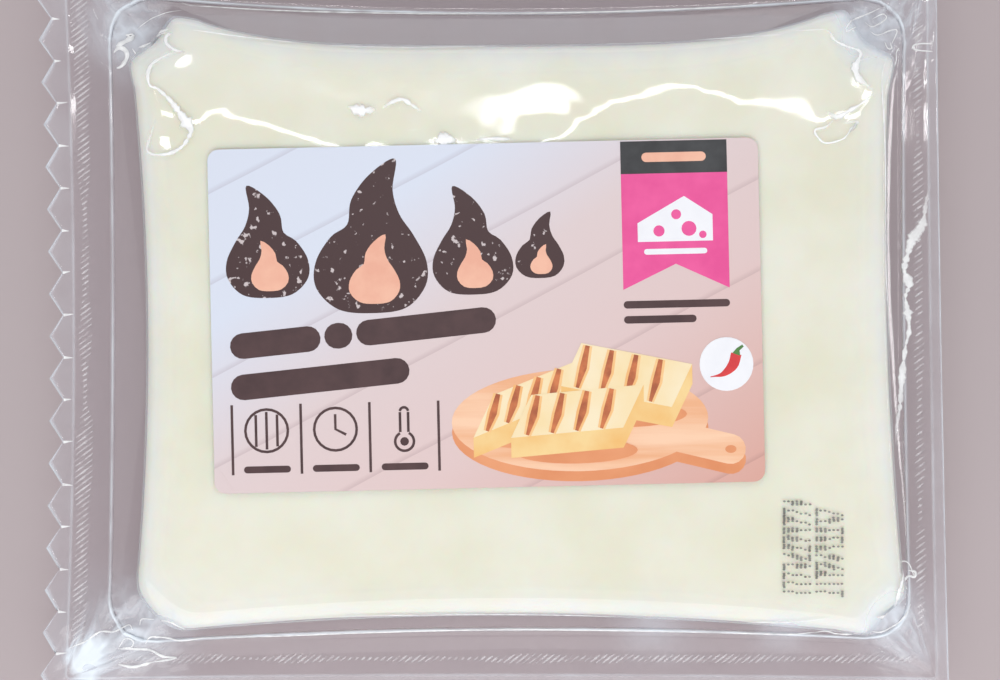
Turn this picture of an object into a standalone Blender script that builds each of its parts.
"""A block of grilling cheese, vacuum-packed in clear film, with a paper label on its face.

The pack lies on its flat back, label up: X runs along the label, Y up it and Z out of the table.
The origin is at the middle of the film's outline, on the table. Lengths are in metres.
"""

import math

import bmesh
import bpy
from mathutils import Vector

MM = 0.001

# The film from cut edge to cut edge, and the block inside it
PACK_LENGTH = 152 * MM
PACK_WIDTH = 125.4 * MM
BLOCK_THICKNESS = 17 * MM

# Corners of each outline as (x, y), anticlockwise from the lower left
CUT_CORNERS = (
    (-PACK_LENGTH / 2 + 2.7 * MM, -PACK_WIDTH / 2),
    (PACK_LENGTH / 2, -PACK_WIDTH / 2),
    (PACK_LENGTH / 2 - 2.2 * MM, PACK_WIDTH / 2),
    (-PACK_LENGTH / 2 + 1.0 * MM, PACK_WIDTH / 2),
)
MOUTH_CORNERS = (
    (-63.2 * MM, -52.4 * MM),
    (69.4 * MM, -52.4 * MM),
    (68.4 * MM, 53.8 * MM),
    (-63.2 * MM, 53.8 * MM),
)
BLOCK_CORNERS = (
    (-57.0 * MM, -49.5 * MM),
    (66.8 * MM, -50.0 * MM),
    (64.0 * MM, 49.2 * MM),
    (-58.4 * MM, 48.6 * MM),
)

# How far the middle of each side is drawn in: bottom, right, top and left
CUT_BOWS = (0.8 * MM, 0.3 * MM, 0.8 * MM, 0.0)
MOUTH_BOWS = (1.2 * MM, 0.4 * MM, 2.4 * MM, 0.5 * MM)
BLOCK_BOWS = (2.5 * MM, 1.2 * MM, 4.0 * MM, 1.8 * MM)

# Corner sizes and pinches: lower right, upper right, upper left and lower left
CUT_CORNER = 0.5 * MM
MOUTH_CORNER = 8 * MM
BLOCK_CORNER = 9.5 * MM
PINCHES = (0.9 * MM, 1.7 * MM, 1.2 * MM, 0.3 * MM)
PLEATS = (1.0 * MM, 1.3 * MM, 1.2 * MM, 1.0 * MM)
PLEATS_PER_CORNER = 2.5

# The film's zigzag edge: its uppermost tip is the leftmost, and it bows in most at ZIGZAG_MIDDLE
TEETH = 18
TOOTH_PITCH = 7.02 * MM
TOOTH_DEPTH = 2.3 * MM
FIRST_TIP = 61.0 * MM
ZIGZAG_BOW = 2.8 * MM
ZIGZAG_MIDDLE = -8.0 * MM

# Heights and widths of the film round the block
SKIN = 0.8 * MM
SEAL_HEIGHT = 6.0 * MM
LEAVE_HEIGHT = 8.6 * MM
FACE_ROUND = 4.0 * MM
BACK_ROUND = 3.0 * MM
SIDE_BULGE = 0.4 * MM
MOUTH_RIDGE = 0.7 * MM
SEAL_INNER = 3.1 * MM

# The label
LABEL_LENGTH = 88 * MM
LABEL_WIDTH = 55 * MM
LABEL_CORNER = 1.8 * MM
LABEL_THICKNESS = 0.3 * MM
LABEL_GAP = 0.3 * MM
LABEL_CENTRE = (-0.7 * MM, 1.1 * MM)
LABEL_TURN = math.radians(1.3)

# Steps along each side, bottom, right, top and left, and round a corner or a rounded edge
SIDE_STEPS = (18, 18, 18, 2 * TEETH)
CORNER_STEPS = 10
ROUND_STEPS = 3

CREAM = (0.84, 0.82, 0.68)
PAPER_PINK = (0.80, 0.68, 0.66)


def outline(corners, bows, corner_size, outward=0.0, pinches=(0, 0, 0, 0)):
    """A closed outline as points: four bowed sides joined by curved corners, moved outward.

    A pinched corner has a small horn at each end of its curve and a dent between them.
    """
    points = []
    turn = [Vector(corner) for corner in corners]
    for side, steps in enumerate(SIDE_STEPS):
        start, end, after = (turn[(side + i) % 4] for i in range(3))
        along = (end - start).normalized()
        inward = Vector((-along.y, along.x))
        first = start + along * corner_size
        last = end - along * corner_size
        for step in range(steps):
            t = step / steps
            sag = bows[side] * (1 - (2 * t - 1) ** 2) - outward
            points.append(first.lerp(last, t) + inward * sag)
        leaving = last - inward * outward
        next_along = (after - end).normalized()
        next_inward = Vector((-next_along.y, next_along.x))
        arriving = end + next_along * corner_size - next_inward * outward
        tip = end - (inward + next_inward) * outward
        diagonal = -(inward + next_inward).normalized()
        for step in range(CORNER_STEPS):
            s = step / CORNER_STEPS
            point = leaving * (1 - s) ** 2 + tip * 2 * s * (1 - s) + arriving * s**2
            horns = math.exp(-(((s - 0.15) / 0.12) ** 2)) + math.exp(-(((s - 0.85) / 0.12) ** 2))
            dent = math.exp(-(((s - 0.5) / 0.16) ** 2))
            points.append(point + diagonal * pinches[side] * (horns - 0.8 * dent))
    return points


def corner_places():
    """For each point of an outline, its corner's number and its place along that corner, or None."""
    places = []
    for side, steps in enumerate(SIDE_STEPS):
        places += [None] * steps
        places += [(side, step / CORNER_STEPS) for step in range(CORNER_STEPS)]
    return places


def at_height(points, height):
    return [Vector((point.x, point.y, height)) for point in points]


def block_ring(height, outward=0.0):
    pinch = min(1.0, max(0.0, height / LEAVE_HEIGHT))
    pinches = [size * pinch for size in PINCHES]
    return at_height(outline(BLOCK_CORNERS, BLOCK_BOWS, BLOCK_CORNER, outward, pinches), height)


def rounded_edge(radius, flat_height, side_height):
    """Rings of the block's rounded edge, from its flat face to its side."""
    rings = []
    for step in range(ROUND_STEPS + 1):
        angle = math.pi / 2 * step / ROUND_STEPS
        height = flat_height + (side_height - flat_height) * (1 - math.cos(angle))
        rings.append(block_ring(height, radius * (math.sin(angle) - 1)))
    return rings


def skirt_ring(share, lift):
    """A ring of the film's slope between the block's side, at share 0, and the mouth's ridge, at 1."""
    near = block_ring(LEAVE_HEIGHT)
    far = at_height(outline(MOUTH_CORNERS, MOUTH_BOWS, MOUTH_CORNER), SEAL_HEIGHT)
    ring = []
    for inner, outer, place in zip(near, far, corner_places()):
        point = inner.lerp(outer, share)
        point.z = LEAVE_HEIGHT + (SEAL_HEIGHT - LEAVE_HEIGHT) * math.sin(share * math.pi / 2) + lift
        if place:
            corner, s = place
            swell = math.sin(math.pi * s) * math.sin(math.pi * share)
            point.z += PLEATS[corner] * swell * math.cos(2 * math.pi * PLEATS_PER_CORNER * s)
        ring.append(point)
    return ring


def mouth_ring(outward, rise, lift):
    return at_height(outline(MOUTH_CORNERS, MOUTH_BOWS, MOUTH_CORNER, outward), SEAL_HEIGHT + rise + lift)


def zigzag():
    """The points of the left edge, downward, at each tooth's tip and at each valley after it."""
    points = []
    for step in range(2 * TEETH):
        y = FIRST_TIP - step * TOOTH_PITCH / 2
        along = (y - ZIGZAG_MIDDLE) / (FIRST_TIP - ZIGZAG_MIDDLE)
        x = -PACK_LENGTH / 2 + ZIGZAG_BOW * (1 - along**2) + TOOTH_DEPTH * (step % 2)
        points.append(Vector((x, y)))
    return points


def cut_ring(lift):
    """The film's cut edge, with the zigzag as its left side."""
    points = outline(CUT_CORNERS, CUT_BOWS, CUT_CORNER)
    points[-CORNER_STEPS - 2 * TEETH : -CORNER_STEPS] = zigzag()
    return at_height(points, SEAL_HEIGHT + lift)


def film_rings(lift):
    """Rings of one side of the film, from the block's side out to the cut edge."""
    rings = [skirt_ring(share, lift) for share in (0.0, 0.3, 0.6, 0.85)]
    rings.append(mouth_ring(0, MOUTH_RIDGE, lift))
    rings.append(mouth_ring(0.8 * MM, 0, lift))
    rings.append(mouth_ring(SEAL_INNER, 0, lift))
    rings.append(cut_ring(lift))
    return rings


def loft(name, rings):
    """A closed solid through rings of equally many points, capped at the first and the last ring."""
    mesh = bmesh.new()
    vertices = [mesh.verts.new(point) for point in rings[0]]
    mesh.faces.new(vertices)
    edges = mesh.edges[:]
    for ring in rings[1:]:
        grown = bmesh.ops.extrude_edge_only(mesh, edges=edges)["geom"]
        vertices_next = [item for item in grown if isinstance(item, bmesh.types.BMVert)]
        edges = [item for item in grown if isinstance(item, bmesh.types.BMEdge)]
        edges = [edge for edge in edges if all(vertex in vertices_next for vertex in edge.verts)]
        order = {}
        for old in vertices:
            across = [edge.other_vert(old) for edge in old.link_edges]
            order[old] = next(vertex for vertex in across if vertex in vertices_next)
        vertices = [order[old] for old in vertices]
        for vertex, point in zip(vertices, ring):
            vertex.co = point
    mesh.faces.new(vertices)
    bmesh.ops.recalc_face_normals(mesh, faces=mesh.faces[:])
    data = bpy.data.meshes.new(name)
    mesh.to_mesh(data)
    mesh.free()
    data.shade_smooth()
    data.set_sharp_from_angle(angle=math.radians(40))
    solid = bpy.data.objects.new(name, data)
    bpy.context.scene.collection.objects.link(solid)
    return solid


def finish(solid, name, colour, roughness):
    material = bpy.data.materials.new(name)
    material.use_nodes = True
    shader = material.node_tree.nodes["Principled BSDF"]
    shader.inputs["Base Color"].default_value = (*colour, 1)
    shader.inputs["Roughness"].default_value = roughness
    solid.data.materials.append(material)


def sealed_pack():
    """The film drawn tight over the block, with its sealed margin and zigzag edge, as one solid."""
    back = rounded_edge(BACK_ROUND, 0.0, BACK_ROUND)
    under = film_rings(-SKIN / 2)
    over = film_rings(SKIN / 2)
    side = [block_ring((BLOCK_THICKNESS - FACE_ROUND + LEAVE_HEIGHT) / 2, SIDE_BULGE)]
    face = rounded_edge(FACE_ROUND, BLOCK_THICKNESS, BLOCK_THICKNESS - FACE_ROUND)
    solid = loft("sealed_pack", back + under + over[::-1] + side + face[::-1])
    finish(solid, "film_and_cheese", CREAM, 0.25)


def label():
    """The paper label on the face, turned a little as it was stuck on."""
    mesh = bmesh.new()
    size = Vector((LABEL_LENGTH, LABEL_WIDTH, LABEL_THICKNESS))
    bmesh.ops.create_cube(mesh, size=1)
    bmesh.ops.scale(mesh, vec=size, verts=mesh.verts)
    upright = [edge for edge in mesh.edges if edge.verts[0].co.xy == edge.verts[1].co.xy]
    bmesh.ops.bevel(
        mesh, geom=upright, offset=LABEL_CORNER, segments=5, profile=0.5, affect="EDGES", material=-1
    )
    data = bpy.data.meshes.new("label")
    mesh.to_mesh(data)
    mesh.free()
    sticker = bpy.data.objects.new("label", data)
    bpy.context.scene.collection.objects.link(sticker)
    sticker.location = (*LABEL_CENTRE, BLOCK_THICKNESS + LABEL_GAP + LABEL_THICKNESS / 2)
    sticker.rotation_euler.z = LABEL_TURN
    finish(sticker, "label_paper", PAPER_PINK, 0.4)


def main():
    for old in list(bpy.data.objects):
        bpy.data.objects.remove(old)
    sealed_pack()
    label()


main()
